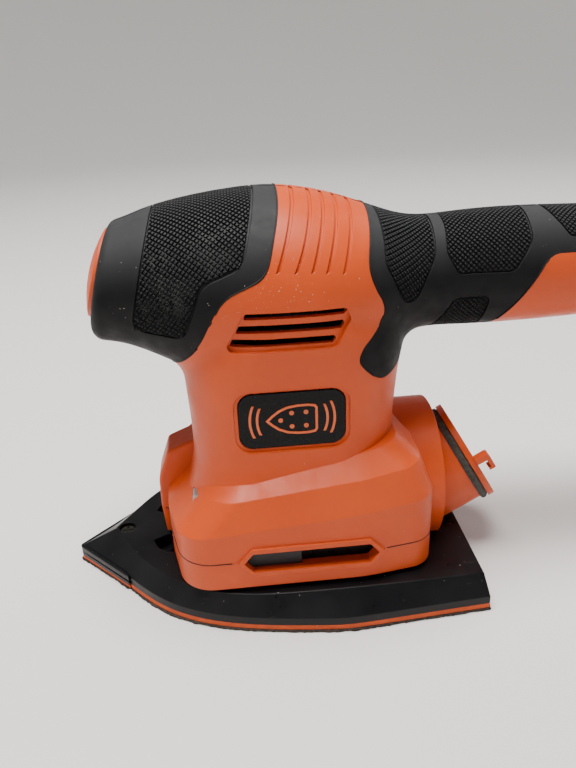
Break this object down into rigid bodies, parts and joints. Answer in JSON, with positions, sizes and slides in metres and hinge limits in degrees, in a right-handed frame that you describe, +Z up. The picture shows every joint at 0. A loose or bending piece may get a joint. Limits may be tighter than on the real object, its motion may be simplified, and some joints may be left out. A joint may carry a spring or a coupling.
{
  "type": "detail sander",
  "caption": "Battery detail sander with an iron-shaped sanding pad, removable diamond tip, rear dust port, nose rocker switch and rubber-covered rear handle.",
  "frame": {"origin": "on the sanding face, midway along the pad and on its middle plane", "axes": "+X from the pad's point towards the handle's rear end, +Z up out of the pad, +Y to the tool's left side"},
  "size_m": [0.2574, 0.0984, 0.1329],
  "materials": {
    "housing_plastic": "fine-grained satin moulding",
    "grip_rubber": "matt overmoulding with knurled patches",
    "platen_plastic": "satin, lightly scratched",
    "cushion_foam": "dense foam",
    "abrasive": "resin-bonded grit on hook-backed cloth",
    "felt": "dusty felt",
    "badge_plastic": "plain raised plate",
    "dark_plastic": "moulded",
    "steel": "ground",
    "zinc_steel": "passivated zinc",
    "copper": "enamelled winding and bar copper",
    "carbon": "pressed carbon",
    "magnet": "sintered ferrite",
    "leg_rubber": "moulded",
    "tinned": "tinned",
    "wire_red": "insulated wire",
    "wire_black": "insulated wire"
  },
  "bodies": {
    "housing": {"housing_left": "housing_plastic", "housing_right": "housing_plastic", "skirt_ring": "housing_plastic", "nose_grip_left": "grip_rubber", "nose_grip_right": "grip_rubber", "handle_grip_left": "grip_rubber", "handle_grip_right": "grip_rubber", "badge_left": "badge_plastic", "badge_right": "badge_plastic", "fan_baffle": "dark_plastic", "motor_mount_plate": "dark_plastic", "dust_port": "housing_plastic", "port_seal": "felt", "switch_frame": "dark_plastic", "switch_body": "dark_plastic", "switch_terminals": "tinned", "motor_can": "steel", "motor_bearing_lower": "steel", "motor_bearing_upper": "steel", "motor_magnets": "magnet", "motor_end_bell": "dark_plastic", "carbon_brushes": "carbon", "battery_dock": "dark_plastic", "terminal_block": "dark_plastic", "terminal_blades": "tinned", "housing_screws": "steel", "battery_lead_red": "wire_red", "battery_lead_black": "wire_black", "flexible_legs": "leg_rubber"},
    "rotor": {"motor_shaft": "steel", "armature_core": "steel", "armature_coils": "copper", "commutator": "copper", "dust_fan": "dark_plastic", "crank_weight": "steel", "platen_bearing_inner": "steel"},
    "platen": {"platen": "platen_plastic", "pad_cushion": "cushion_foam", "abrasive_sheet": "abrasive", "platen_bearing_outer": "steel", "platen_bearing_balls": "steel", "tip_screw": "zinc_steel", "tip_clamp_nut": "zinc_steel"},
    "tip": {"detail_tip": "platen_plastic", "tip_cushion": "cushion_foam", "tip_sheet": "abrasive"},
    "rocker": {"switch_rocker": "housing_plastic"}
  },
  "joints": [
    {"name": "motor_spin", "type": "hinge", "parent": "housing", "child": "rotor", "pos_m": [0.012, 0, 0.0685], "axis": [0, 0, 1], "continuous": true},
    {"name": "pad_orbit", "type": "hinge", "parent": "rotor", "child": "platen", "pos_m": [0.0128, 0, 0.0195], "axis": [0, 0, 1], "continuous": true, "deforming": ["flexible_legs"]},
    {"name": "tip_slide", "type": "slide", "parent": "platen", "child": "tip", "axis": [-1, 0, 0], "range_m": [0, 0.02]},
    {"name": "power_rocker", "type": "hinge", "parent": "housing", "child": "rocker", "pos_m": [-0.04321, 0, 0.10774], "axis": [0, -1, 0], "range_deg": [0, 10]}
  ],
  "couplings": [
    {"joint": "pad_orbit", "follows": "motor_spin", "ratio": -1}
  ]
}
